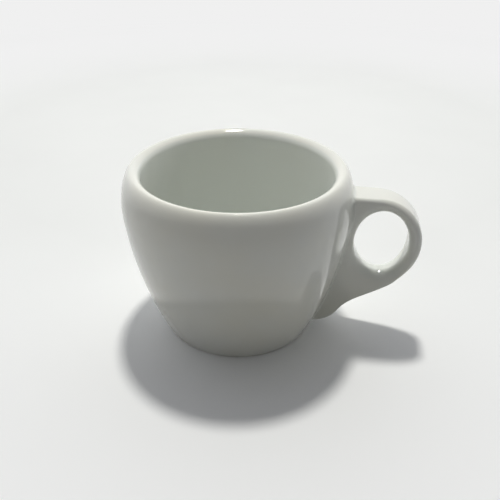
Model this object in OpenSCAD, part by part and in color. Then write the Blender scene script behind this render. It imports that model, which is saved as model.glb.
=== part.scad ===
// Thick-walled porcelain cup for small strong coffees, with a ring handle luted to its side.
// The cup stands on the plane z = 0, its axis is the Z axis, and the handle points along +X.
// The handle's broad sides face +Y and -Y. All lengths are in millimetres.

/* [Cup body] */
// Diameter at the belly, the widest place
belly_d = 65; // [62:0.5:70]
// Height from the table to the top of the lip
cup_h = 49.8; // [47:0.2:54]
// Diameter of the foot, where the outer wall starts
foot_d = 44.6; // [42:0.2:48]
// Radius of the worn edge round the foot
foot_edge = 0.8; // [0.4:0.1:1.4]

/* [Lip] */
// Height of the lip's outer rounding, from the belly to the top
lip_h = 10; // [8:0.2:12]
// How far the crest along the top of the lip lies inside the belly
lip_in = 3.3; // [2.6:0.1:4]
// Width of the lip's inner rounding, from the crest to the mouth
lip_inner_w = 2.5; // [1.5:0.1:3]
// Height of the lip's inner rounding
lip_inner_h = 2.6; // [1.5:0.1:3.5]

/* [Bowl] */
// Height of the bowl's floor above the table
bowl_floor_z = 7; // [5.5:0.5:10]

/* [Foot recess] */
// Width of the flat ring that the cup stands on
stand_w = 2.6; // [1.6:0.2:4]
// Depth of the hollow inside the foot ring
recess_h = 1.8; // [1:0.1:3]

/* [Finger hole] */
// Width of the finger hole, along X
hole_w = 15.4; // [13:0.2:16]
// Height of the finger hole, along Z
hole_h = 21; // [17:0.2:21.6]
// How far the hole's near side stands off the belly
hole_gap = 0.5; // [0.4:0.1:1.5]
// Radius of the hole's edges
hole_edge = 2.2; // [1:0.1:2.6]

/* [Handle ring] */
// Thickness of the handle across its broad sides
handle_w = 8.9; // [7.5:0.1:10.5]
// Depth of the strap's flat top below the top of the lip
strap_drop = 5.1; // [4:0.1:7]
// Thickness of the strap, above the hole
strap_t = 4.1; // [3.4:0.1:5]
// Thickness of the ring at the far side of the hole
ring_t = 3.5; // [2.8:0.1:4.5]
// Thickness of the ring below the hole
heel_t = 2.9; // [2.4:0.1:4]
// Width of the ring's outer oval, along X, whose near side lies in the wall
ring_w = 25.4; // [24.4:0.2:27]
// Radius of the ring's outer edges
ring_edge = 1.9; // [1:0.1:2.4]

/* [Handle tail] */
// Slope of the tail's underside against the table, in degrees
tail_angle = 58; // [50:1:64]
// How far outside the foot the line of the underside meets the table
tail_out = 4.5; // [3.5:0.1:6]
// Height of the tail's lower end above the table
toe_z = 2; // [1.6:0.1:4]
// Radius of the tail's lower end
toe_round = 4; // [2:0.2:6]
// Radius of the hollow between the ring and the tail
tail_fillet = 10.4; // [6:0.2:12]

/* [Handle root] */
// How far the root's hollow climbs up the handle from the wall
root_rise = 1.3; // [1.1:0.1:2.2]
// How far the root's hollow spreads over the wall beside the strap
root_spread = 6.5; // [4:0.5:9]
// How far it spreads beside the tail, where the line of the wall meets the table
toe_spread = 1.3; // [1:0.1:3]

/* [Slip joint] */
// Thickness of the slip between the wall and the handle
slip_t = 0.35; // [0.3:0.05:0.6]
// Clearance on each face of the slip, so that the pieces never overlap
joint_gap = 0.03; // [0.02:0.01:0.05]

/* [Hidden] */

// Shares that shape the outer wall, the lip and the bowl
wall_power_share = 1.6;
wall_full_share = 0.865;
lip_power_share = 1.84;
bowl_power_share = 3;
bowl_full_share = 0.5;

belly_r = belly_d / 2;
foot_r = foot_d / 2;
belly_z = cup_h - lip_h;
crest_r = belly_r - lip_in;
mouth_r = crest_r - lip_inner_w;
mouth_z = cup_h - lip_inner_h;
strap_z = cup_h - strap_drop;
hole_x = belly_r + hole_gap + hole_w / 2;
hole_z = strap_z - strap_t - hole_h / 2;
ring_h = strap_t + hole_h + heel_t;
ring_x = belly_r + hole_gap + hole_w + ring_t - ring_w / 2;
ring_z = strap_z - ring_h / 2;
toe_r = foot_r + tail_out;
side_y = handle_w / 2;

// Steps along each stretch of the cup's outline, and how they crowd towards the low end
outline_steps = 20;
lip_steps = 12;
edge_steps = 5;
wall_crowd_share = 1.5;
bowl_crowd_share = 1.8;

// Sections round the finger hole, and points along each half section
sections = 96;
inner_points = 4;
side_points = 6;
root_points = 5;
wall_points = 4;
// Halvings that find each point on the handle's skin, and each long way
halvings = 12;
long_halvings = 16;
// How the points on a side crowd towards the root
side_crowd_share = 1.8;
// How deep the core of a section lies under the skin at the wall and at the ring
root_core = root_rise * 0.36;
ring_core = side_y * 0.45;
// Turn of a free section's outer corner, and the most that a corner at the root may turn
free_corner = 45;
root_corner = 110;
// Longest way from a core to the skin, a little over the ring's height
reach = ring_h * 1.07;
// How near the slip's outer face a point of the skin still counts as on it
touch = joint_gap * 1.2;

// Rays over the slip, rings along each ray, and how the rings are spread
slip_rays = 60;
slip_ring_shares = [0.25, 0.5, 0.68, 0.8, 0.88, 0.94, 0.98];

// Outer radius of the cup body at a height
function wall_r(z) =
    z < belly_z
    ? foot_r + (belly_r - foot_r)
        * pow(1 - pow(1 - max(z, 0) / belly_z, wall_power_share), wall_full_share)
    : crest_r + lip_in
        * pow(1 - pow(min((z - belly_z) / lip_h, 1), lip_power_share),
              1 / lip_power_share);

// Inner radius of the bowl at a share of the way from its floor to the mouth
function bowl_r(t) = mouth_r * pow(1 - pow(1 - t, bowl_power_share), bowl_full_share);

// Distance outside two solids joined with a hollow of radius r between them
function join_round(a, b, r) =
    max(r, min(a, b)) - norm([max(r - a, 0), max(r - b, 0)]);

// Distance outside what two solids share, with its edge rounded to radius r
function cut_round(a, b, r) =
    min(-r, max(a, b)) + norm([max(r + a, 0), max(r + b, 0)]);

// Distances in the handle's own plane: outside the ring, outside the tail, and inside the hole
function oval(x, z, w, h) = (norm([2 * x / w, 2 * z / h]) - 1) * w / 2;
function under_d(x, z) = (x - toe_r) * sin(tail_angle) - z * cos(tail_angle);
function tail_d(x, z) =
    max(z - strap_z, x - ring_x, cut_round(under_d(x, z), toe_z - z, toe_round));
function outline_d(x, z) =
    let (ring = oval(x - ring_x, z - ring_z, ring_w, ring_h), tail = tail_d(x, z))
    z > ring_z ? min(ring, tail) : join_round(ring, tail, tail_fillet);
function hole_d(x, z) = -oval(x - hole_x, z - hole_z, hole_w, hole_h);

// How far the root's hollow spreads sideways at a height
function spread_at(z) = toe_spread + (root_spread - toe_spread) * z / strap_z;

// Distance outside the plain handle, with its sides drawn in to widen the root's hollow
function plain_d(x, y, z) =
    let (
        side = abs(y) - side_y,
        drawn = side > 0 ? side * root_rise / spread_at(z) : side
    )
    max(cut_round(outline_d(x, z), drawn, ring_edge),
        cut_round(hole_d(x, z), drawn, hole_edge));

// Distance outside the wall, and outside the handle once it is blended into the wall
function off_wall(p) = norm([p.x, p.y]) - wall_r(p.z);
function blended_d(p) = join_round(plain_d(p.x, p.y, p.z), off_wall(p), root_rise);
function handle_d(p) =
    max(blended_d(p), slip_t + joint_gap - off_wall(p), slip_t + joint_gap - p.z);

// Point at a distance from the hole's axis, in the section at an angle round the hole
function section_point(angle, rho, y) =
    [hole_x + rho * cos(angle), y, hole_z + rho * sin(angle)];

// Way from a point inside the handle to its skin, by halving
function way_out(p, step, low, high, n) =
    n == 0
    ? (low + high) / 2
    : let (mid = (low + high) / 2)
      handle_d(p + mid * step) < 0
      ? way_out(p, step, mid, high, n - 1)
      : way_out(p, step, low, mid, n - 1);

// Point on the skin, seen from a core at rho, where turn 0 looks outward and 90 sideways
function skin_point(angle, rho, turn, limit) =
    let (
        core = section_point(angle, rho, 0),
        step = [cos(turn) * cos(angle), sin(turn), cos(turn) * sin(angle)]
    )
    core + way_out(core, step, 0, limit, halvings) * step;

// Whether a point of the skin lies against the slip
function on_slip(p) = off_wall(p) < slip_t + touch;

// Turn at which a section's skin reaches the wall, by halving
function root_turn(angle, rho, low, high, n) =
    n == 0
    ? low
    : let (mid = (low + high) / 2)
      on_slip(skin_point(angle, rho, mid, reach))
      ? root_turn(angle, rho, mid, high, n - 1)
      : root_turn(angle, rho, low, mid, n - 1);

function hole_r(angle) = 1 / norm([2 * cos(angle) / hole_w, 2 * sin(angle) / hole_h]);

// Half of a section, from the hole's rim round the +Y side to the outer edge or the wall
function half_section(angle) =
    let (
        rim = hole_r(angle),
        core = section_point(angle, rim, 0),
        out = section_point(angle, 1, 0) - section_point(angle, 0, 0),
        start = joint_gap * 2,
        band = way_out(core + start * out, out, 0, reach, long_halvings) + start,
        at_wall = off_wall(core + band * out) < ring_core ? root_core : ring_core,
        inner = rim + min(hole_edge, band / 2),
        outer = rim + band - min(at_wall, band / 2),
        corner = on_slip(skin_point(angle, outer, 0, reach))
            ? root_turn(angle, outer, 0, root_corner, halvings)
            : free_corner
    )
    [
        for (i = [0:inner_points - 1])
            skin_point(angle, inner, 180 - 90 * i / inner_points, inner),
        for (i = [0:side_points - 1])
            let (share = 1 - pow(1 - i / side_points, side_crowd_share))
            skin_point(angle, inner + (outer - inner) * share, 90, reach),
        for (i = [0:root_points - 1])
            skin_point(angle, outer, 90 - (90 - corner) * i / root_points, reach),
        for (i = [0:wall_points])
            skin_point(angle, outer, corner * (1 - i / wall_points), reach)
    ];

// A whole section: the half at +Y, then its mirror image back to the start
function whole_section(half) =
    concat(half, [for (i = [len(half) - 2:-1:1]) [half[i].x, -half[i].y, half[i].z]]);

// Faces of a closed tube of rings, whose last ring joins the first
function tube_faces(rings, count) =
    [
        for (i = [0:rings - 1], j = [0:count - 1], k = [0, 1])
            let (
                a = i * count + j,
                b = i * count + (j + 1) % count,
                c = ((i + 1) % rings) * count + (j + 1) % count,
                d = ((i + 1) % rings) * count + j
            )
            k == 0 ? [a, b, c] : [a, c, d]
    ];

// Point on the wall at an arc length beside the handle's plane, lifted off the wall
function wall_point(arc, z, lift) =
    let (turn = arc / wall_r(z) * 180 / PI, r = wall_r(z) + lift)
    [r * cos(turn), r * sin(turn), z];

// Where the slip's rays start, and the outer face of the slip where it is wiped thinnest
slip_z = hole_z - hole_h / 4;
thin = joint_gap * 1.5;

// How far a ray runs from there to the slip's feathered edge
function slip_run(turn, low, high, n) =
    n == 0
    ? low
    : let (
        mid = (low + high) / 2,
        z = slip_z + mid * sin(turn),
        p = wall_point(mid * cos(turn), z, joint_gap)
    )
    z > joint_gap * 2 && z < cup_h && blended_d(p) < 0
    ? slip_run(turn, mid, high, n - 1)
    : slip_run(turn, low, mid, n - 1);

// Thickness to which the slip is wiped at a place on the wall
function slip_lift(arc, z, low, high, n) =
    n == 0
    ? low
    : let (mid = (low + high) / 2)
      blended_d(wall_point(arc, z, mid)) < 0
      ? slip_lift(arc, z, mid, high, n - 1)
      : slip_lift(arc, z, low, mid, n - 1);

// The turned cup body: outer wall, lip, bowl, foot ring and the hollow inside the ring
module cup_body() {
    outer_wall = [
        for (i = [0:outline_steps])
            let (z = foot_edge + (belly_z - foot_edge) * pow(i / outline_steps, wall_crowd_share))
            [wall_r(z), z]
    ];
    outer_lip = [
        for (i = [1:lip_steps])
            let (turn = 90 * i / lip_steps)
            [
                crest_r + lip_in * pow(cos(turn), 2 / lip_power_share),
                belly_z + lip_h * pow(sin(turn), 2 / lip_power_share)
            ]
    ];
    inner_lip = [
        for (i = [1:lip_steps])
            let (turn = 90 * i / lip_steps)
            [crest_r - lip_inner_w * sin(turn), mouth_z + lip_inner_h * cos(turn)]
    ];
    bowl_points = [
        for (i = [outline_steps - 1:-1:0])
            let (t = pow(i / outline_steps, bowl_crowd_share))
            [bowl_r(t), bowl_floor_z + (mouth_z - bowl_floor_z) * t]
    ];
    edge_points = [
        for (i = [0:edge_steps - 1])
            let (turn = 90 * i / edge_steps, edge_r = wall_r(foot_edge) - foot_edge)
            [edge_r + foot_edge * sin(turn), foot_edge * (1 - cos(turn))]
    ];
    stand_in = edge_points[0].x - stand_w;
    recess_points = [
        [0, recess_h],
        [stand_in - recess_h, recess_h],
        [stand_in, 0]
    ];
    color("whitesmoke")
        rotate_extrude($fn = 180)
            polygon(concat(recess_points, edge_points, outer_wall, outer_lip, inner_lip,
                           bowl_points));
}

// The ring handle: sections round the finger hole, that end on the wall where they meet it
module ring_handle() {
    skin = [for (i = [0:sections - 1]) whole_section(half_section(360 * i / sections))];
    points = [for (ring = skin) for (p = ring) p];
    color("white")
        polyhedron(points, tube_faces(sections, len(skin[0])), convexity = 6);
}

// The slip that lutes the handle to the wall, feathered out over the wall round the root
module slip_joint() {
    turns = [for (i = [0:slip_rays - 1]) 360 * i / slip_rays];
    runs = [for (turn = turns) slip_run(turn, 0, reach, long_halvings)];
    places = [
        for (share = slip_ring_shares, i = [0:slip_rays - 1])
            [share * runs[i] * cos(turns[i]), slip_z + share * runs[i] * sin(turns[i])]
    ];
    back = [for (q = places) wall_point(q.x, q.y, joint_gap)];
    front = [
        for (q = places)
            wall_point(q.x, q.y, slip_lift(q.x, q.y, thin, slip_t, halvings))
    ];
    rim = [
        for (i = [0:slip_rays - 1])
            wall_point(runs[i] * cos(turns[i]), slip_z + runs[i] * sin(turns[i]), joint_gap)
    ];
    rings = len(slip_ring_shares);
    count = rings * slip_rays;
    middle = [wall_point(0, slip_z, joint_gap), wall_point(0, slip_z, slip_t)];
    last = (rings - 1) * slip_rays;
    faces = [
        for (i = [0:slip_rays - 1])
            let (n = (i + 1) % slip_rays)
            each [
                [2 * count + slip_rays, i, n],
                [2 * count + slip_rays + 1, count + n, count + i],
                [last + i, 2 * count + i, last + n],
                [last + n, 2 * count + i, 2 * count + n],
                [count + last + n, 2 * count + i, count + last + i],
                [count + last + n, 2 * count + n, 2 * count + i]
            ],
        for (r = [0:rings - 2], i = [0:slip_rays - 1])
            let (n = (i + 1) % slip_rays, a = r * slip_rays, b = a + slip_rays)
            each [
                [a + i, b + i, a + n],
                [a + n, b + i, b + n],
                [count + a + n, count + b + i, count + a + i],
                [count + a + n, count + b + n, count + b + i]
            ]
    ];
    color("gainsboro")
        polyhedron(concat(back, front, rim, middle), faces, convexity = 6);
}

cup_body();
ring_handle();
slip_joint();
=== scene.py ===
"""A thick-walled porcelain coffee cup with a ring handle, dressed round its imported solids.

The cup stands on the plane z = 0 with its axis on Z, and its handle points along +X.
Forms are worked out in millimetres, and a mesh is in metres from the moment it is made.
"""

import logging
import math
from collections.abc import Callable
from dataclasses import dataclass
from enum import Enum
from typing import Any

import bpy
import numpy as np
from mathutils import Matrix, Vector


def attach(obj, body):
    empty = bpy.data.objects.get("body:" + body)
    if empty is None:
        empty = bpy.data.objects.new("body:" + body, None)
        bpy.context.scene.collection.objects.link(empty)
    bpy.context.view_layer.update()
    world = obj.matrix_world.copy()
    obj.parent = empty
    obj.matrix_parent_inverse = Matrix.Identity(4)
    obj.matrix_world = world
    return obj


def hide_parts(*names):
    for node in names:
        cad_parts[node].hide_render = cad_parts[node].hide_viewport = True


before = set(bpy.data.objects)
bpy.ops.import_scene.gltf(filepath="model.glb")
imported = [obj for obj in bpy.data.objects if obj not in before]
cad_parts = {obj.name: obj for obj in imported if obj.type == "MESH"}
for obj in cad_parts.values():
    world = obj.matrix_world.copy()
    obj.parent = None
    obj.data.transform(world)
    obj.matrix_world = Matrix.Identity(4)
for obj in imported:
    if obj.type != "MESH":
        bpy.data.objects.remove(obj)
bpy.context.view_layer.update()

MM = 0.001
POOL_AND_SHADE = "pool"  # the attribute that says how much the glaze runs together at a point, and how much painted shade lies low in the handle's finger hole
ROOT_POOL_AND_SHADE = 0.8  # the most that it does so on the handle, the painted shade in the finger hole included
MERGE_MM = 0.002  # points nearer than this are one
LEAST_STEEP = 0.04  # the smallest squared slope that a stride is worked out from
TINY = 1e-9  # keeps a length from being 0 where it divides
MIX_UNDER = 6  # a Mix node's input for the colour below
MIX_OVER = 7  # its input for the colour on top
MIX_COLOUR = 2  # its output for the mixed colour
Field = Callable[[np.ndarray], np.ndarray]  # takes points and gives their distances
log = logging.getLogger("cup")


class Packed(Enum):
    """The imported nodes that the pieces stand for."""

    CUP_BODY = "cup_body"
    RING_HANDLE = "ring_handle"
    SLIP_JOINT = "slip_joint"


# Colours and nodes


def linear(hex_colour: str) -> tuple[float, float, float, float]:
    """Turns an sRGB hex value into a linear colour.

    Args:
        hex_colour: six hex digits after a hash sign.

    Returns:
        Red, green, blue and an alpha of 1.
    """
    shares = [int(hex_colour[i : i + 2], 16) / 255 for i in (1, 3, 5)]
    red, green, blue = (
        s / 12.92 if s <= 0.04045 else ((s + 0.055) / 1.055) ** 2.4 for s in shares
    )
    return red, green, blue, 1.0


def add_node(
    tree: bpy.types.NodeTree,
    kind: str,
    settings: dict[str | int, Any] | None = None,
    links: dict[str | int, bpy.types.NodeSocket] | None = None,
) -> bpy.types.Node:
    """Adds a node with its settings and the links into it.

    Args:
        tree: the node tree that gets the node.
        kind: the node's type, such as ShaderNodeTexNoise.
        settings: a property's name, or an input's name or number, and its value.
        links: an input's name or number, and the output that feeds it.

    Returns:
        The new node.
    """
    node = tree.nodes.new(kind)
    for key, value in (settings or {}).items():
        if isinstance(key, str) and hasattr(node, key):
            setattr(node, key, value)
        else:
            node.inputs[key].default_value = value
    for key, output in (links or {}).items():
        tree.links.new(output, node.inputs[key])
    return node


def lay_coats(
    tree: bpy.types.NodeTree, ground: str, coats: list[tuple[str, bpy.types.NodeSocket]]
) -> bpy.types.NodeSocket:
    """Lays coats of colour over a ground, each by a share that a socket gives.

    Args:
        tree: the node tree to work in.
        ground: the lowest colour, as a hex value.
        coats: each coat's hex colour and how much of it shows, from the lowest up.

    Returns:
        The mixed colour's output.
    """
    lowest = add_node(tree, "ShaderNodeRGB").outputs[0]
    lowest.default_value = linear(ground)
    colour = lowest
    for coat, share in coats:
        colour = add_node(
            tree,
            "ShaderNodeMix",
            {"data_type": "RGBA", MIX_OVER: linear(coat)},
            {"Factor": share, MIX_UNDER: colour},
        ).outputs[MIX_COLOUR]
    return colour


def seen_ray(tree: bpy.types.NodeTree) -> bpy.types.NodeSocket:
    """Gives 1 for what the eye sees, straight or mirrored or through glass, and 0 for light.

    Args:
        tree: the node tree to work in.

    Returns:
        The output.
    """
    path = add_node(tree, "ShaderNodeLightPath").outputs
    seen = path["Is Camera Ray"]
    for ray in ("Is Glossy Ray", "Is Transmission Ray"):
        seen = add_node(
            tree, "ShaderNodeMath", {"operation": "MAXIMUM"}, {0: seen, 1: path[ray]}
        ).outputs[0]
    return seen


# Finishes


@dataclass(frozen=True)
class GlazedPorcelain:
    """Hard white porcelain, dipped in clear feldspar glaze and fired at 1300 degrees.

    The eye sees a clean white with a faint warm and cool cloud in it, a green cast where the
    glaze ran together, the same cast as painted shade low in the handle's finger hole, a sharp
    gloss that wavers a little, and a few pin-head specks.
    """

    name: str
    white: str = "#E8E9E3"
    warm: str = "#E9E8DD"
    # the glaze's green cast where it runs together; low in the finger hole the same tint is
    # painted shade
    pooled: str = "#DBDFDA"
    speck: str = "#9C8F7A"
    bare: str = "#DAD5C9"
    ior: float = 1.52
    gloss_low: float = 0.02
    gloss_high: float = 0.05
    bare_roughness: float = 0.72
    cloud_mm: float = 24.0
    ripple_mm: float = 7.5
    peel_mm: float = 1.4
    speck_cell_mm: float = 7.0
    speck_mm: float = 0.28
    ripple_depth_mm: float = 0.02
    peel_depth_mm: float = 0.0022
    bare_to_mm: float = 0.34
    bare_fade: float = 1.3
    cloud_range: tuple[float, float] = (0.35, 0.7)
    gloss_range: tuple[float, float] = (0.3, 0.75)
    speck_core: float = 0.4
    speck_few: float = 0.95
    speck_depth: float = 0.6

    def make(self) -> bpy.types.Material:
        """Builds the material.

        Returns:
            The material, which reads Object coordinates and the attribute of pooled glaze and
            painted shade.
        """
        material = bpy.data.materials.new(self.name)
        material.use_nodes = True
        tree = material.node_tree
        tree.nodes.clear()
        place = add_node(tree, "ShaderNodeTexCoord").outputs["Object"]
        glazed = self._glazed_share(tree, place)
        shader = add_node(
            tree,
            "ShaderNodeBsdfPrincipled",
            {"IOR": self.ior},
            {
                "Base Color": self._colour(tree, place, glazed),
                "Roughness": self._roughness(tree, place, glazed),
                "Normal": self._relief(tree, place),
            },
        )
        add_node(
            tree, "ShaderNodeOutputMaterial", {}, {"Surface": shader.outputs["BSDF"]}
        )
        return material

    def _glazed_share(
        self, tree: bpy.types.NodeTree, place: bpy.types.NodeSocket
    ) -> bpy.types.NodeSocket:
        """Tells the glazed skin from the bare ring that the kiln shelf touched.

        Args:
            tree: the node tree to work in.
            place: the Object coordinates.

        Returns:
            0 on the bare ring and 1 above it.
        """
        height = add_node(tree, "ShaderNodeSeparateXYZ", {}, {0: place}).outputs["Z"]
        low = self.bare_to_mm * MM
        return add_node(
            tree,
            "ShaderNodeMapRange",
            {"From Min": low, "From Max": self.bare_fade * low},
            {"Value": height},
        ).outputs["Result"]

    def _colour(
        self,
        tree: bpy.types.NodeTree,
        place: bpy.types.NodeSocket,
        glazed: bpy.types.NodeSocket,
    ) -> bpy.types.NodeSocket:
        """Clouds the white, tints it where the glaze pooled and as painted shade low in the
        finger hole, specks it and bares the foot.

        Args:
            tree: the node tree to work in.
            place: the Object coordinates.
            glazed: 1 where the glaze lies and 0 on the bare foot.

        Returns:
            The colour's output.
        """
        noise = add_node(
            tree,
            "ShaderNodeTexNoise",
            {"Scale": 1 / (self.cloud_mm * MM), "Detail": 3.0},
            {"Vector": place},
        )
        cloud = add_node(
            tree,
            "ShaderNodeMapRange",
            {"From Min": self.cloud_range[0], "From Max": self.cloud_range[1]},
            {"Value": noise.outputs["Fac"]},
        )
        pool = add_node(
            tree, "ShaderNodeAttribute", {"attribute_type": "GEOMETRY", "attribute_name": POOL_AND_SHADE}
        )
        bare = add_node(tree, "ShaderNodeMath", {"operation": "SUBTRACT", 0: 1.0}, {1: glazed})
        coats = [
            (self.warm, cloud.outputs["Result"]),
            # pooled glaze in the bowl and the root's hollow; low in the finger hole this tint is
            # painted shade of the strap's shadow
            (self.pooled, pool.outputs["Fac"]),
            (self.speck, self._specks(tree, place)),
            (self.bare, bare.outputs[0]),
        ]
        return lay_coats(tree, self.white, coats)

    def _specks(
        self, tree: bpy.types.NodeTree, place: bpy.types.NodeSocket
    ) -> bpy.types.NodeSocket:
        """Puts a pin-head speck in one cell out of twenty, of the size that kiln grit has.

        Args:
            tree: the node tree to work in.
            place: the Object coordinates.

        Returns:
            How much of the speck's colour shows.
        """
        cells = add_node(
            tree,
            "ShaderNodeTexVoronoi",
            {"Scale": 1 / (self.speck_cell_mm * MM)},
            {"Vector": place},
        )
        near = add_node(
            tree,
            "ShaderNodeMapRange",
            {
                "From Min": self.speck_mm / self.speck_cell_mm,
                "From Max": self.speck_core * self.speck_mm / self.speck_cell_mm,
            },
            {"Value": cells.outputs["Distance"]},
        )
        draw = add_node(tree, "ShaderNodeSeparateColor", {}, {0: cells.outputs["Color"]})
        few = add_node(
            tree,
            "ShaderNodeMath",
            {"operation": "GREATER_THAN", 1: self.speck_few},
            {0: draw.outputs[0]},
        )
        both = add_node(
            tree,
            "ShaderNodeMath",
            {"operation": "MULTIPLY"},
            {0: near.outputs[0], 1: few.outputs[0]},
        )
        return add_node(
            tree,
            "ShaderNodeMath",
            {"operation": "MULTIPLY", 1: self.speck_depth},
            {0: both.outputs[0]},
        ).outputs[0]

    def _roughness(
        self,
        tree: bpy.types.NodeTree,
        place: bpy.types.NodeSocket,
        glazed: bpy.types.NodeSocket,
    ) -> bpy.types.NodeSocket:
        """Lets the gloss vary a little and leaves the bare foot matt.

        Args:
            tree: the node tree to work in.
            place: the Object coordinates.
            glazed: 1 where the glaze lies and 0 on the bare foot.

        Returns:
            The roughness's output.
        """
        noise = add_node(
            tree,
            "ShaderNodeTexNoise",
            {"Scale": 1 / (self.ripple_mm * MM), "Detail": 4.0},
            {"Vector": place},
        )
        gloss = add_node(
            tree,
            "ShaderNodeMapRange",
            {
                "From Min": self.gloss_range[0],
                "From Max": self.gloss_range[1],
                "To Min": self.gloss_low,
                "To Max": self.gloss_high,
            },
            {"Value": noise.outputs["Fac"]},
        )
        return add_node(
            tree,
            "ShaderNodeMix",
            {"data_type": "FLOAT", "A": self.bare_roughness},
            {"Factor": glazed, "B": gloss.outputs["Result"]},
        ).outputs[0]

    def _relief(
        self, tree: bpy.types.NodeTree, place: bpy.types.NodeSocket
    ) -> bpy.types.NodeSocket:
        """Ripples the glaze slowly and gives it a fine orange peel.

        Args:
            tree: the node tree to work in.
            place: the Object coordinates.

        Returns:
            The normal's output.
        """
        ripple = add_node(
            tree,
            "ShaderNodeTexNoise",
            {"Scale": 1 / (self.ripple_mm * MM), "Detail": 0.0},
            {"Vector": place},
        )
        rippled = add_node(
            tree,
            "ShaderNodeBump",
            {"Distance": self.ripple_depth_mm * MM},
            {"Height": ripple.outputs["Fac"]},
        )
        peel = add_node(
            tree,
            "ShaderNodeTexNoise",
            {"Scale": 1 / (self.peel_mm * MM), "Detail": 1.0},
            {"Vector": place},
        )
        return add_node(
            tree,
            "ShaderNodeBump",
            {"Distance": self.peel_depth_mm * MM},
            {"Height": peel.outputs["Fac"], "Normal": rippled.outputs["Normal"]},
        ).outputs["Normal"]


@dataclass(frozen=True)
class MattPaper:
    """Matt white card that the cup stands on: even, faintly mottled and without gloss.

    It throws less light back at the cup than it shows, so that the cup's near side keeps
    the depth of shade that a cup on a small card has. Far off it is plain and pale.
    """

    name: str = "matt white card"
    pale: str = "#EEEFEE"
    deep: str = "#E8E9E8"
    far: str = "#FCFCFD"
    thrown: str = "#ACACAA"
    lamp_foot_mm: tuple[float, float, float] = (-26.0, 180.0, 0.0)
    far_from_mm: float = 150.0
    far_to_mm: float = 290.0
    distant: str = "#F0F0F0"
    distant_from_mm: float = 270.0
    distant_to_mm: float = 520.0
    mottle_mm: float = 60.0
    grain_mm: float = 0.9  # coarser than the real grain, which is too fine to show
    grain_depth_mm: float = 0.01
    roughness: float = 0.85
    specular: float = 0.2

    def make(self) -> bpy.types.Material:
        """Builds the material.

        Returns:
            The material.
        """
        material = bpy.data.materials.new(self.name)
        material.use_nodes = True
        tree = material.node_tree
        tree.nodes.clear()
        place = add_node(tree, "ShaderNodeTexCoord").outputs["Object"]
        mottle = add_node(
            tree,
            "ShaderNodeTexNoise",
            {"Scale": 1 / (self.mottle_mm * MM), "Detail": 4.0},
            {"Vector": place},
        )
        grain = add_node(
            tree,
            "ShaderNodeTexNoise",
            {"Scale": 1 / (self.grain_mm * MM), "Detail": 2.0},
            {"Vector": place},
        )
        path = add_node(tree, "ShaderNodeLightPath").outputs
        coats = [
            (self.deep, mottle.outputs["Fac"]),
            (self.far, self._far_share(tree, place)),
            (self.thrown, path["Is Diffuse Ray"]),
        ]
        bump = add_node(
            tree,
            "ShaderNodeBump",
            {"Distance": self.grain_depth_mm * MM},
            {"Height": grain.outputs["Fac"]},
        )
        shader = add_node(
            tree,
            "ShaderNodeBsdfPrincipled",
            {"Roughness": self.roughness, "Specular IOR Level": self.specular},
            {"Base Color": lay_coats(tree, self.pale, coats), "Normal": bump.outputs["Normal"]},
        )
        plain = add_node(tree, "ShaderNodeEmission", {"Color": linear(self.distant)})
        surface = add_node(
            tree,
            "ShaderNodeMixShader",
            {},
            {0: self._distant_share(tree, place), 1: shader.outputs[0], 2: plain.outputs[0]},
        )
        add_node(tree, "ShaderNodeOutputMaterial", {}, {"Surface": surface.outputs[0]})
        return material

    def _distant_share(
        self, tree: bpy.types.NodeTree, place: bpy.types.NodeSocket
    ) -> bpy.types.NodeSocket:
        """Shows the card plain and pale far off, to the eye and to mirrored rays alone.

        Args:
            tree: the node tree to work in.
            place: the Object coordinates.

        Returns:
            How plain the card is.
        """
        away = add_node(tree, "ShaderNodeVectorMath", {"operation": "LENGTH"}, {0: place})
        far = add_node(
            tree,
            "ShaderNodeMapRange",
            {"From Min": self.distant_from_mm * MM, "From Max": self.distant_to_mm * MM},
            {0: away.outputs["Value"]},
        )
        return add_node(
            tree,
            "ShaderNodeMath",
            {"operation": "MULTIPLY"},
            {0: far.outputs[0], 1: seen_ray(tree)},
        ).outputs[0]

    def _far_share(
        self, tree: bpy.types.NodeTree, place: bpy.types.NodeSocket
    ) -> bpy.types.NodeSocket:
        """Makes the card whiter away from the lamp, so that it looks evenly lit.

        Args:
            tree: the node tree to work in.
            place: the Object coordinates.

        Returns:
            How white the card is.
        """
        foot = Vector(self.lamp_foot_mm) * MM
        away = add_node(
            tree, "ShaderNodeVectorMath", {"operation": "DISTANCE", 1: foot}, {0: place}
        )
        return add_node(
            tree,
            "ShaderNodeMapRange",
            {"From Min": self.far_from_mm * MM, "From Max": self.far_to_mm * MM},
            {0: away.outputs["Value"]},
        ).outputs[0]


# Forms, in millimetres


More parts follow.
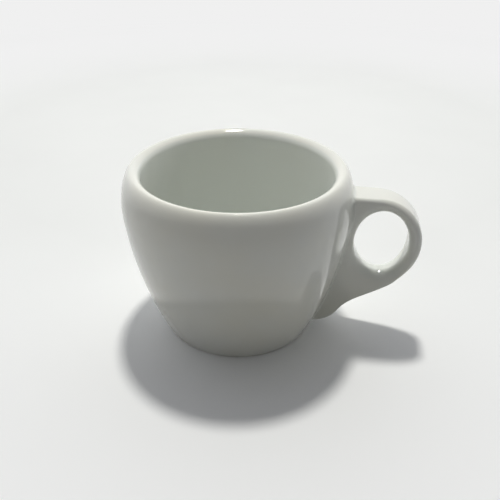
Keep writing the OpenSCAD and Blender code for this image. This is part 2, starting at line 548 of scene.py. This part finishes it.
@dataclass(frozen=True)
class CupForm:
    """The turned outline of the cup, in millimetres."""

    belly_r: float = 32.5
    cup_h: float = 49.8
    foot_r: float = 22.3
    foot_edge: float = 0.8
    lip_h: float = 10.0
    lip_in: float = 3.3
    lip_inner_w: float = 2.5
    lip_inner_h: float = 2.6
    floor_z: float = 7.0
    stand_w: float = 2.6
    recess_h: float = 1.8
    wall_power: float = 1.6
    wall_full: float = 0.865
    lip_power: float = 1.84
    bowl_power: float = 3.0
    bowl_full: float = 0.5
    under_steps: int = 8
    cove_steps: int = 9
    edge_steps: int = 7
    wall_steps: int = 58
    wall_crowding: float = 1.5
    lip_steps: int = 27
    inner_steps: int = 17
    bowl_steps: int = 56
    bowl_crowding: float = 2.2

    @property
    def belly_z(self) -> float:
        """Height of the widest place."""
        return self.cup_h - self.lip_h

    @property
    def crest_r(self) -> float:
        """Radius of the crest along the top of the lip."""
        return self.belly_r - self.lip_in

    def wall_r(self, z: np.ndarray) -> np.ndarray:
        """Outer radius at a height.

        Args:
            z: heights.

        Returns:
            The radius at each height.
        """
        down = np.clip(1 - np.clip(z, 0, None) / self.belly_z, 0, 1)
        up = np.clip((z - self.belly_z) / self.lip_h, 0, 1)
        wall = self.foot_r + (self.belly_r - self.foot_r) * (
            1 - down**self.wall_power
        ) ** self.wall_full
        lip = self.crest_r + self.lip_in * (1 - up**self.lip_power) ** (1 / self.lip_power)
        return np.where(z < self.belly_z, wall, lip)

    def beside(self, arc: np.ndarray, z: np.ndarray, lift: np.ndarray) -> np.ndarray:
        """Places points on the wall beside the handle.

        Args:
            arc: arc lengths round the wall from the handle's plane.
            z: heights.
            lift: distances off the wall.

        Returns:
            Points, one a row.
        """
        wall = self.wall_r(z)
        turn = arc / wall
        return np.stack([(wall + lift) * np.cos(turn), (wall + lift) * np.sin(turn), z], axis=1)

    def outline(self) -> list[tuple[float, float]]:
        """Follows the outline from under the foot, up the wall, over the lip to the bowl.

        Returns:
            Pairs of radius and height, which start and end on the axis.
        """
        edge_r = float(self.wall_r(np.array(self.foot_edge))) - self.foot_edge
        inner_r = edge_r - self.stand_w
        cove = [
            (inner_r - self.recess_h * (1 - t), self.recess_h * (1 - t**2) ** 0.5)
            for t in np.linspace(0, 1, self.cove_steps)
        ]
        foot = [
            (edge_r + self.foot_edge * math.sin(a), self.foot_edge * (1 - math.cos(a)))
            for a in np.linspace(0, math.pi / 2, self.edge_steps)[:-1]
        ]
        shares = np.linspace(0, 1, self.wall_steps) ** self.wall_crowding
        heights = self.foot_edge + (self.belly_z - self.foot_edge) * shares
        wall = [(float(self.wall_r(z)), float(z)) for z in heights]
        turns = np.linspace(0, math.pi / 2, self.lip_steps)[1:]
        share = 2 / self.lip_power
        lip = [
            (
                self.crest_r + self.lip_in * max(math.cos(a), 0) ** share,
                self.belly_z + self.lip_h * math.sin(a) ** share,
            )
            for a in turns
        ]
        mouth_r = self.crest_r - self.lip_inner_w
        mouth_z = self.cup_h - self.lip_inner_h
        inner = [
            (
                self.crest_r - self.lip_inner_w * math.sin(a),
                mouth_z + self.lip_inner_h * math.cos(a),
            )
            for a in np.linspace(0, math.pi / 2, self.inner_steps)[1:]
        ]
        bowl = [
            (
                mouth_r * (1 - (1 - t) ** self.bowl_power) ** self.bowl_full,
                self.floor_z + (mouth_z - self.floor_z) * t,
            )
            for t in np.linspace(1, 0, self.bowl_steps)[1:] ** self.bowl_crowding
        ]
        under = [
            (r, self.recess_h)
            for r in np.linspace(0, inner_r - self.recess_h, self.under_steps)[:-1]
        ]
        return under + cove + foot + wall + lip + inner + bowl


def join_round(a: np.ndarray, b: np.ndarray, r: float) -> np.ndarray:
    """Distance outside two solids joined with a hollow of radius r between them."""
    return np.maximum(r, np.minimum(a, b)) - np.hypot(np.maximum(r - a, 0), np.maximum(r - b, 0))


def cut_round(a: np.ndarray, b: np.ndarray, r: float) -> np.ndarray:
    """Distance outside what two solids share, with its edge rounded to radius r."""
    return np.minimum(-r, np.maximum(a, b)) + np.hypot(np.maximum(r + a, 0), np.maximum(r + b, 0))


def oval(x: np.ndarray, z: np.ndarray, w: float, h: float) -> np.ndarray:
    """Distance outside an oval of that width and height about the origin."""
    return (np.hypot(2 * x / w, 2 * z / h) - 1) * w / 2


@dataclass(frozen=True)
class HandleForm:
    """The ring handle as a distance in millimetres: below 0 inside it and above 0 outside.

    The ring and the tail are joined in the handle's own plane, given their thickness and
    rounded edges, and joined to the wall with a hollow. Sideways the hollow is drawn out.
    The edges are finer along the strap and rounder at the heel, low in the finger hole.
    Inside the wall a thin plate carries on under the hollow's edge, so that the handle's
    skin runs out flush with the wall's and its own edge stays hidden in the clay.
    """

    cup: CupForm
    half_w: float = 4.45
    ring_x: float = 39.2
    ring_z: float = 30.45
    ring_w: float = 25.4
    ring_h: float = 27.5
    strap_z: float = 44.2
    ring_edge: float = 1.9
    strap_edge: float = 1.0
    strap_to: float = 38.0
    bend_from: float = 47.0
    hole_x: float = 40.9
    hole_z: float = 30.45
    hole_w: float = 14.9
    hole_h: float = 19.7
    hole_edge: float = 2.2
    heel_edge: float = 3.6
    heel_to: float = 21.0
    heel_from: float = 29.0
    tail_angle: float = 58.0
    toe_r: float = 26.8
    toe_z: float = 2.0
    toe_round: float = 4.0
    tail_fillet: float = 10.4
    root_rise: float = 0.9
    root_spread: float = 4.8
    toe_spread: float = 1.1
    sink: float = 0.012
    plate_deep: float = 1.2
    plate_out: float = 0.7
    table_gap: float = 0.3

    def off_wall(self, p: np.ndarray) -> np.ndarray:
        """Distance outside the wall, which is taken a hair's breadth smaller than it is."""
        return np.hypot(p[:, 0], p[:, 1]) - self.cup.wall_r(p[:, 2]) + self.sink

    def plain(self, p: np.ndarray) -> np.ndarray:
        """Distance outside the handle without its root.

        Args:
            p: points, one a row.

        Returns:
            A distance for each point.
        """
        x, y, z = p.T
        slope = math.radians(self.tail_angle)
        under = (x - self.toe_r) * math.sin(slope) - z * math.cos(slope)
        tail = np.maximum(
            np.maximum(z - self.strap_z, x - self.ring_x),
            cut_round(under, self.toe_z - z, self.toe_round),
        )
        ring = oval(x - self.ring_x, z - self.ring_z, self.ring_w, self.ring_h)
        outline = np.where(
            z > self.ring_z, np.minimum(ring, tail), join_round(ring, tail, self.tail_fillet)
        )
        hole = -oval(x - self.hole_x, z - self.hole_z, self.hole_w, self.hole_h)
        side = np.abs(y) - self.half_w
        spread = self.toe_spread + (self.root_spread - self.toe_spread) * z / self.strap_z
        drawn = np.where(side > 0, side * self.root_rise / spread, side)
        edge = np.interp(x, (self.strap_to, self.bend_from), (self.strap_edge, self.ring_edge))
        inner_edge = np.interp(
            z, (self.heel_to, self.heel_from), (self.heel_edge, self.hole_edge)
        )
        return np.maximum(cut_round(outline, drawn, edge), cut_round(hole, drawn, inner_edge))

    def skin(self, p: np.ndarray) -> np.ndarray:
        """Distance outside the wall and the handle that is joined to it."""
        return join_round(self.plain(p), self.off_wall(p), self.root_rise)

    def distance(self, p: np.ndarray) -> np.ndarray:
        """Distance outside the handle alone, with the plate under its root.

        Args:
            p: points, one a row.

        Returns:
            A distance for each point.
        """
        inside_wall = -self.off_wall(p) - self.plate_deep
        beside_root = self.plain(p) - self.root_rise - self.plate_out
        above_table = self.table_gap - p[:, 2]
        return np.maximum(
            np.maximum(self.skin(p), inside_wall), np.maximum(beside_root, above_table)
        )

    def pool(self, p: np.ndarray) -> np.ndarray:
        """How much the glaze runs together in the root's hollow, with painted shade low in the
        finger hole, where the strap's shadow falls.

        Args:
            p: points, one a row.

        Returns:
            A share for each point.
        """
        x, y, z = p.T
        far = np.maximum(self.plain(p), self.off_wall(p))
        hollow = np.clip(1 - far / self.root_rise, 0, 1)
        reach = np.hypot(2 * (x - self.hole_x) / self.hole_w, 2 * (z - self.hole_z) / self.hole_h)
        # painted shade: the lower inside of the finger hole is darkened where the strap's shadow
        # falls
        low = np.clip(2 * (self.hole_z - z) / self.hole_h, 0, 1) ** 2
        inside = np.clip(1 - (reach - 1) * self.hole_w / 2 / self.hole_edge, 0, 1)
        return np.maximum(hollow, low * inside)


def slope_of(distance: Field, p: np.ndarray, step: float = 0.01) -> np.ndarray:
    """Slope of a distance at each point, by central differences.

    Args:
        distance: a function of points that gives distances.
        p: points, one a row, in millimetres.
        step: how far to look each way.

    Returns:
        One slope vector a row.
    """
    shifts = np.eye(3) * step
    parts = [distance(p + s) - distance(p - s) for s in shifts]
    return np.stack(parts, axis=1) / (2 * step)


# Work on meshes


def deselect() -> None:
    """Leaves nothing selected, in object mode."""
    if bpy.context.mode != "OBJECT":
        bpy.ops.object.mode_set(mode="OBJECT")
    bpy.ops.object.select_all(action="DESELECT")


def points_of(piece: bpy.types.Object) -> np.ndarray:
    """Reads a mesh's points.

    Args:
        piece: the object.

    Returns:
        Its points in millimetres, one a row.
    """
    flat = np.empty(len(piece.data.vertices) * 3)
    piece.data.vertices.foreach_get("co", flat)
    return flat.reshape(-1, 3) / MM


def move_points(piece: bpy.types.Object, points: np.ndarray) -> None:
    """Writes a mesh's points, given in millimetres."""
    piece.data.vertices.foreach_set("co", (points * MM).ravel())
    piece.data.update()


def settle(piece: bpy.types.Object, name: str) -> None:
    """Names a piece and puts its place into its mesh.

    Args:
        piece: the object.
        name: its name from now on.
    """
    deselect()
    piece.select_set(True)
    bpy.context.view_layer.objects.active = piece
    bpy.ops.object.transform_apply(location=True, rotation=True, scale=True)
    piece.name = name
    piece.data.name = name


def draw_chain(points: list[tuple[float, float, float]]) -> bpy.types.Object:
    """Draws a chain of edges by extruding one point after the other.

    Args:
        points: the chain's points in millimetres.

    Returns:
        The object, in edit mode, with its last point selected.
    """
    deselect()
    first = Vector(points[0]) * MM
    bpy.ops.mesh.primitive_plane_add(size=MM, location=first)
    chain = bpy.context.object
    bpy.ops.object.mode_set(mode="EDIT")
    bpy.ops.mesh.merge(type="CENTER")
    for before, after in zip(points, points[1:]):
        step = (Vector(after) - Vector(before)) * MM
        bpy.ops.mesh.extrude_region_move(TRANSFORM_OT_translate={"value": step})
    return chain


def write_pool_and_shade(piece: bpy.types.Object, values: np.ndarray) -> None:
    """Stores how much the glaze pools at each point of a mesh, with the handle's painted shade
    low in the finger hole.

    Args:
        piece: the object.
        values: a share from 0 to 1 for each point.
    """
    attribute = piece.data.attributes.new(POOL_AND_SHADE, "FLOAT", "POINT")
    attribute.data.foreach_set("value", values.astype(np.float32))


def apply_modifier(piece: bpy.types.Object, kind: str, settings: dict[str, Any]) -> None:
    """Adds a modifier to a piece and applies it.

    Args:
        piece: the object.
        kind: the modifier's type.
        settings: property names and values.
    """
    deselect()
    piece.select_set(True)
    bpy.context.view_layer.objects.active = piece
    modifier = piece.modifiers.new(kind.title(), kind)
    for key, value in settings.items():
        setattr(modifier, key, value)
    bpy.ops.object.modifier_apply(modifier=modifier.name)


def keep_largest(piece: bpy.types.Object) -> bpy.types.Object:
    """Deletes a mesh's loose crumbs.

    Args:
        piece: the object.

    Returns:
        Its one large part.
    """
    deselect()
    piece.select_set(True)
    bpy.context.view_layer.objects.active = piece
    bpy.ops.mesh.separate(type="LOOSE")
    parts = sorted(bpy.context.selected_objects, key=lambda part: len(part.data.vertices))
    for crumb in parts[:-1]:
        bpy.data.objects.remove(crumb)
    return parts[-1]


def lead_onto(piece: bpy.types.Object, distance: Field, passes: int, stride: float) -> None:
    """Leads a mesh's points onto a form, a stride at a time.

    Args:
        piece: the object.
        distance: the form, as a function of points in millimetres.
        passes: how many strides a point may take.
        stride: the longest stride in millimetres.
    """
    points = points_of(piece)
    for _ in range(passes):
        slope = slope_of(distance, points)
        steep = np.maximum((slope**2).sum(axis=1), LEAST_STEEP)
        way = -slope * (distance(points) / steep)[:, None]
        length = np.linalg.norm(way, axis=1)
        points = points + way * np.minimum(1, stride / np.maximum(length, TINY))[:, None]
    move_points(piece, points)


def smooth_by_form(piece: bpy.types.Object, distance: Field) -> None:
    """Shades a mesh smooth with normals that come from the form itself.

    Args:
        piece: the object.
        distance: the form, as a function of points in millimetres.
    """
    deselect()
    piece.select_set(True)
    bpy.context.view_layer.objects.active = piece
    bpy.ops.object.shade_smooth()
    slope = slope_of(distance, points_of(piece))
    slope /= np.maximum(np.linalg.norm(slope, axis=1), TINY)[:, None]
    piece.data.normals_split_custom_set_from_vertices([tuple(n) for n in slope])


def dress(
    piece: bpy.types.Object, material: bpy.types.Material, node: str
) -> bpy.types.Object:
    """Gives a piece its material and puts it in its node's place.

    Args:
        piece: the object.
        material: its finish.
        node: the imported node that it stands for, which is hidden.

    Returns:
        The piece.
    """
    piece.data.materials.clear()
    piece.data.materials.append(material)
    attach(piece, "root")
    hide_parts(node)
    faces = sum(len(p.vertices) - 2 for p in piece.data.polygons)
    log.info("%s: %d triangles, %s", piece.name, faces, material.name)
    return piece


# Sub-assemblies


@dataclass
class CupBody:
    """The turned body: wall, lip, bowl and foot in one."""

    form: CupForm
    finish: GlazedPorcelain
    name: str = "porcelain_body"
    steps: int = 256
    crease_degrees: float = 40.0
    least_wall: float = 3.0
    least_floor: float = 1.0
    pool_at_lip: float = 0.45
    pool_at_floor: float = 0.95

    def build(self) -> bpy.types.Object:
        """Draws the outline and spins it once round the axis.

        Returns:
            The finished piece.
        """
        body = draw_chain([(r, 0.0, z) for r, z in self.form.outline()])
        bpy.ops.mesh.select_all(action="SELECT")
        bpy.ops.mesh.spin(
            steps=self.steps, angle=2 * math.pi, center=(0, 0, 0), axis=(0, 0, 1)
        )
        bpy.ops.mesh.select_all(action="SELECT")
        bpy.ops.mesh.remove_doubles(threshold=MERGE_MM * MM)
        bpy.ops.mesh.normals_make_consistent(inside=False)
        settle(body, self.name)
        bpy.ops.object.shade_smooth_by_angle(angle=math.radians(self.crease_degrees))
        write_pool_and_shade(body, self._pool(points_of(body)))
        return dress(body, self.finish.make(), Packed.CUP_BODY.value)

    def _pool(self, points: np.ndarray) -> np.ndarray:
        """Lets the glaze run together low in the bowl.

        Args:
            points: points in millimetres, one a row.

        Returns:
            A share for each point, by the height above the bowl's floor.
        """
        x, y, z = points.T
        clear = np.hypot(x, y) < self.form.wall_r(z) - self.least_wall
        inside = clear & (z > self.form.floor_z - self.least_floor)
        depth = 1 - (z - self.form.floor_z) / (self.form.cup_h - self.form.floor_z)
        pooled = self.pool_at_lip + (self.pool_at_floor - self.pool_at_lip) * np.clip(depth, 0, 1)
        return np.where(inside, pooled, 0.0)


@dataclass
class RingHandle:
    """The cast handle: strap, ring and tail, joined to the wall by its hollowed root."""

    form: HandleForm
    finish: GlazedPorcelain
    name: str = "porcelain_ring_handle"
    coarse_mm: float = 0.7
    fine_mm: float = 0.3
    rounds: int = 3
    stride: float = 0.7
    strides: int = 4
    last_strides: int = 6
    evening: int = 3
    ring_r: float = 9.6
    ring_thick: float = 2.0
    ring_stretch: tuple[float, float, float] = (1.0, 2.0, 1.28)
    tail_corners: tuple[tuple[float, float], ...] = (
        (29, 43.8), (40, 43.8), (35.6, 38.6), (33.4, 34.2), (32.7, 30), (33.4, 26),
        (35.8, 21.4), (40, 19), (42, 17.6), (38.2, 15.8), (34.6, 12.4), (31, 7),
        (28.6, 3.6), (26.8, 2.6), (22.6, 2.6), (27.6, 14), (30, 30),
    )
    root_cuts: int = 40
    root_z: float = 24.2
    root_reach: float = 22.0
    root_half: float = 8.0
    root_flare: float = 2.6
    root_thick: float = 0.75
    root_sunk: float = 0.35

    def build(self) -> bpy.types.Object:
        """Blocks the handle out, fuses the blocks and leads the skin onto the form.

        Returns:
            The finished piece.
        """
        handle = self._fuse([self._ring(), self._tail(), self._root()])
        for voxel in (self.coarse_mm, self.coarse_mm, self.fine_mm, self.fine_mm):
            apply_modifier(
                handle,
                "REMESH",
                {"mode": "VOXEL", "voxel_size": voxel * MM, "adaptivity": 0.0},
            )
            handle = keep_largest(handle)
            stride = self.stride * voxel
            for _ in range(self.rounds):
                lead_onto(handle, self.form.distance, self.strides, stride)
                apply_modifier(handle, "SMOOTH", {"factor": 0.5, "iterations": self.evening})
            lead_onto(handle, self.form.distance, self.last_strides, stride)
        settle(handle, self.name)
        smooth_by_form(handle, self.form.distance)
        write_pool_and_shade(handle, ROOT_POOL_AND_SHADE * self.form.pool(points_of(handle)))
        return dress(handle, self.finish.make(), Packed.RING_HANDLE.value)

    def _ring(self) -> bpy.types.Object:
        """Adds the ring round the finger hole as a flattened torus.

        Returns:
            The block.
        """
        form = self.form
        deselect()
        bpy.ops.mesh.primitive_torus_add(
            location=(form.hole_x * MM, 0, form.hole_z * MM),
            rotation=(math.pi / 2, 0, 0),
            major_segments=96,
            minor_segments=24,
            major_radius=self.ring_r * MM,
            minor_radius=self.ring_thick * MM,
        )
        ring = bpy.context.object
        bpy.ops.object.mode_set(mode="EDIT")
        bpy.ops.mesh.select_all(action="SELECT")
        bpy.ops.transform.resize(value=self.ring_stretch)
        settle(ring, "ring_block")
        return ring

    def _tail(self) -> bpy.types.Object:
        """Draws the tail's outline in the handle's plane and extrudes it to its thickness.

        Returns:
            The block.
        """
        half = self.form.half_w
        outline = [(x, -half, z) for x, z in self.tail_corners]
        tail = draw_chain(outline + outline[:1])
        bpy.ops.mesh.select_all(action="SELECT")
        bpy.ops.mesh.remove_doubles(threshold=MERGE_MM * MM)
        bpy.ops.mesh.edge_face_add()
        across = (0, 2 * half * MM, 0)
        bpy.ops.mesh.extrude_region_move(TRANSFORM_OT_translate={"value": across})
        bpy.ops.mesh.select_all(action="SELECT")
        bpy.ops.mesh.normals_make_consistent(inside=False)
        settle(tail, "tail_block")
        return tail

    def _root(self) -> bpy.types.Object:
        """Adds the root as a slab that is pressed onto the wall.

        Returns:
            The block.
        """
        deselect()
        bpy.ops.mesh.primitive_cube_add(size=2 * MM)
        root = bpy.context.object
        bpy.ops.object.mode_set(mode="EDIT")
        bpy.ops.mesh.select_all(action="SELECT")
        bpy.ops.mesh.subdivide(number_cuts=self.root_cuts)
        settle(root, "root_block")
        across, lift, up = points_of(root).T
        arc = (self.root_half + self.root_flare * (1 + up)) * across
        height = self.root_z + self.root_reach * up
        off = self.root_thick * lift - self.root_sunk
        move_points(root, self.form.cup.beside(arc, height, off))
        return root

    def _fuse(self, blocks: list[bpy.types.Object]) -> bpy.types.Object:
        """Joins the blocks into one object.

        Args:
            blocks: the objects to join.

        Returns:
            The first of them, which now holds them all.
        """
        deselect()
        for block in blocks:
            block.select_set(True)
        bpy.context.view_layer.objects.active = blocks[0]
        bpy.ops.object.join()
        return blocks[0]


@dataclass
class SlipJoint:
    """The slip that lutes the handle on: a pat pressed flat between wall and handle.

    It was wiped with a wet brush before the firing, so its rim runs out under the skin
    of the root's hollow and leaves no line there.
    """

    form: HandleForm
    finish: GlazedPorcelain
    name: str = "porcelain_slip_joint"
    rays: int = 192
    rings: int = 30
    under: float = 0.06  # how far it stays under the skin of the hollow
    thick: float = 0.35
    buried: float = 0.3  # how deep in the wall its back lies
    least_lift: float = -0.05
    front_from: float = 0.01  # the height on the ball from which a point is on the front
    rim_power: float = 0.55  # below 1, so that the rings crowd towards the rim
    longest_run: float = 40.0
    run_halvings: int = 30
    lift_halvings: int = 24
    foot_gap: float = 0.4
    lip_gap: float = 0.5
    crease_degrees: float = 30.0

    def build(self) -> bpy.types.Object:
        """Presses a ball flat onto the wall and draws its rim out to the hollow's edge.

        Returns:
            The finished piece.
        """
        deselect()
        bpy.ops.mesh.primitive_uv_sphere_add(
            segments=self.rays, ring_count=self.rings, radius=MM
        )
        pat = bpy.context.object
        ball = points_of(pat)
        turn = np.arctan2(ball[:, 1], ball[:, 0])
        polar = np.arccos(np.clip(ball[:, 2], -1, 1))
        spread = np.sin(polar) ** self.rim_power
        run = self._run(turn)
        arc = spread * run * np.cos(turn)
        height = self.middle_z + spread * run * np.sin(turn)
        front = self._lift(arc, height)
        lift = np.where(ball[:, 2] > self.front_from, front, -self.buried)
        move_points(pat, self.form.cup.beside(arc, height, lift))
        bpy.ops.object.mode_set(mode="EDIT")
        bpy.ops.mesh.select_all(action="SELECT")
        bpy.ops.mesh.normals_make_consistent(inside=False)
        settle(pat, self.name)
        bpy.ops.object.shade_smooth_by_angle(angle=math.radians(self.crease_degrees))
        write_pool_and_shade(pat, ROOT_POOL_AND_SHADE * self.form.pool(points_of(pat)))
        return dress(pat, self.finish.make(), Packed.SLIP_JOINT.value)

    @property
    def middle_z(self) -> float:
        """Height from which the rim is drawn out."""
        return self.form.hole_z - self.form.hole_h / 4

    def _covers(self, arc: np.ndarray, z: np.ndarray, lift: np.ndarray) -> np.ndarray:
        """Tells where a place lies under the skin of the slip.

        Args:
            arc: arc lengths along the wall.
            z: heights.
            lift: distances off the wall.

        Returns:
            True or False for each place.
        """
        skin = self.form.skin(self.form.cup.beside(arc, z, lift))
        top = self.form.cup.cup_h - self.lip_gap
        return (skin < -self.under) & (z > self.foot_gap) & (z < top)

    def _run(self, turn: np.ndarray) -> np.ndarray:
        """How far the slip runs from its middle in each direction, by halving.

        Args:
            turn: directions on the unrolled wall.

        Returns:
            A length for each direction.
        """
        low = np.zeros_like(turn)
        high = np.full_like(turn, self.longest_run)
        for _ in range(self.run_halvings):
            mid = (low + high) / 2
            height = self.middle_z + mid * np.sin(turn)
            inside = self._covers(mid * np.cos(turn), height, 0 * mid)
            low = np.where(inside, mid, low)
            high = np.where(inside, high, mid)
        return low

    def _lift(self, arc: np.ndarray, z: np.ndarray) -> np.ndarray:
        """How thick the slip is at each place, by halving.

        Args:
            arc: arc lengths along the wall.
            z: heights.

        Returns:
            The height of its outer face off the wall.
        """
        low = np.full_like(arc, self.least_lift)
        high = np.full_like(arc, self.thick)
        for _ in range(self.lift_halvings):
            mid = (low + high) / 2
            inside = self._covers(arc, z, mid)
            low = np.where(inside, mid, low)
            high = np.where(inside, high, mid)
        return low


# Studio


@dataclass(frozen=True)
class Fill:
    """Soft light from one side of the room, at its strongest where it meets the floor's edge."""

    side: tuple[float, float, float]
    strength: float
    fall: float = 0.0


@dataclass(frozen=True)
class Studio:
    """A pale floor, a key lamp above and behind the cup, and windows behind and beside it."""

    eye_mm: tuple[float, float, float] = (25.87, -141.13, 110.03)
    aim_mm: tuple[float, float, float] = (3.43, 0.54, 22.26)
    roll_degrees: float = 0.44
    lens_mm: float = 40.32
    sensor_mm: float = 36.0
    clip_m: tuple[float, float] = (0.005, 20.0)
    floor_m: float = 8.0
    lamp_mm: tuple[float, float, float] = (-26.0, 180.0, 651.0)
    lamp_radius_mm: float = 35.0
    lamp_watts: float = 10.75
    lamp_colour: str = "#FFFEF9"
    fill_colour: str = "#F9FBFF"
    seen_colour: str = "#F6F6F5"
    fills: tuple[Fill, ...] = (
        Fill((0, 1, 0), 0.86),
        Fill((0, 1, 0), 3.4, 4.0),
        Fill((-1, 0, 0), 0.64),
        Fill((1, 0, 0), 1.15, 4.0),
    )

    def build(self) -> None:
        """Adds the floor, the lights and the camera."""
        self._floor()
        self._world()
        self._key()
        self._camera()

    def _floor(self) -> None:
        """Lays the card that the cup stands on."""
        deselect()
        bpy.ops.mesh.primitive_plane_add(size=self.floor_m)
        floor = bpy.context.object
        floor.name = "floor"
        floor.data.materials.append(MattPaper().make())

    def _world(self) -> None:
        """Sets the fill light, and shows white past the floor, to mirrored rays too."""
        world = bpy.data.worlds.new("studio")
        world.use_nodes = True
        bpy.context.scene.world = world
        tree = world.node_tree
        tree.nodes.clear()
        seen = seen_ray(tree)
        colour = lay_coats(tree, self.fill_colour, [(self.seen_colour, seen)])
        strength = add_node(
            tree,
            "ShaderNodeMix",
            {"data_type": "FLOAT", "B": 1.0},
            {"Factor": seen, "A": self._fill(tree)},
        )
        background = add_node(
            tree,
            "ShaderNodeBackground",
            {},
            {"Color": colour, "Strength": strength.outputs[0]},
        )
        add_node(tree, "ShaderNodeOutputWorld", {}, {"Surface": background.outputs[0]})

    def _fill(self, tree: bpy.types.NodeTree) -> bpy.types.NodeSocket:
        """Adds up the light that comes from each side of the room.

        Args:
            tree: the world's node tree.

        Returns:
            The strength's output.
        """
        ray = add_node(tree, "ShaderNodeTexCoord").outputs["Generated"]
        height = add_node(tree, "ShaderNodeSeparateXYZ", {}, {0: ray}).outputs["Z"]
        low = add_node(tree, "ShaderNodeMapRange", {"To Min": 1.0, "To Max": 0.0}, {0: height})
        total = None
        for fill in self.fills:
            toward = add_node(
                tree, "ShaderNodeVectorMath", {"operation": "DOT_PRODUCT", 1: fill.side}, {0: ray}
            )
            facing = add_node(
                tree,
                "ShaderNodeMapRange",
                {"To Max": fill.strength},
                {0: toward.outputs["Value"]},
            )
            fall = add_node(
                tree, "ShaderNodeMath", {"operation": "POWER", 1: fill.fall}, {0: low.outputs[0]}
            )
            shed = add_node(
                tree,
                "ShaderNodeMath",
                {"operation": "MULTIPLY"},
                {0: facing.outputs[0], 1: fall.outputs[0]},
            ).outputs[0]
            total = shed if total is None else add_node(
                tree, "ShaderNodeMath", {"operation": "ADD"}, {0: total, 1: shed}
            ).outputs[0]
        return total

    def _key(self) -> None:
        """Hangs the key lamp, whose width sets how soft the shadow's edge is."""
        light = bpy.data.lights.new("key", "POINT")
        light.shadow_soft_size = self.lamp_radius_mm * MM
        light.energy = self.lamp_watts
        light.color = linear(self.lamp_colour)[:3]
        key = bpy.data.objects.new("key", light)
        bpy.context.scene.collection.objects.link(key)
        key.location = Vector(self.lamp_mm) * MM

    def _camera(self) -> None:
        """Sets the camera where the photograph was taken from."""
        data = bpy.data.cameras.new("camera")
        data.lens = self.lens_mm
        data.sensor_width = self.sensor_mm
        data.clip_start, data.clip_end = self.clip_m
        camera = bpy.data.objects.new("camera", data)
        bpy.context.scene.collection.objects.link(camera)
        eye, aim = Vector(self.eye_mm) * MM, Vector(self.aim_mm) * MM
        back = (eye - aim).normalized()
        right = Vector((0, 0, 1)).cross(back).normalized()
        up = back.cross(right)
        turn = math.radians(self.roll_degrees)
        right, up = (
            math.cos(turn) * right + math.sin(turn) * up,
            math.cos(turn) * up - math.sin(turn) * right,
        )
        axes = Matrix((right, up, back)).transposed().to_4x4()
        camera.matrix_world = Matrix.Translation(eye) @ axes
        bpy.context.scene.camera = camera
        bpy.context.scene.view_settings.view_transform = "Standard"


# The whole


def main() -> None:
    """Builds the cup piece by piece and sets it in the studio."""
    logging.basicConfig(level=logging.INFO, format="%(name)s: %(message)s")
    cup = CupForm()
    handle = HandleForm(cup)
    CupBody(cup, GlazedPorcelain("glazed porcelain, body")).build()
    RingHandle(handle, GlazedPorcelain("glazed porcelain, handle")).build()
    SlipJoint(handle, GlazedPorcelain("glazed porcelain, slip")).build()
    Studio().build()


if __name__ == "__main__":
    main()
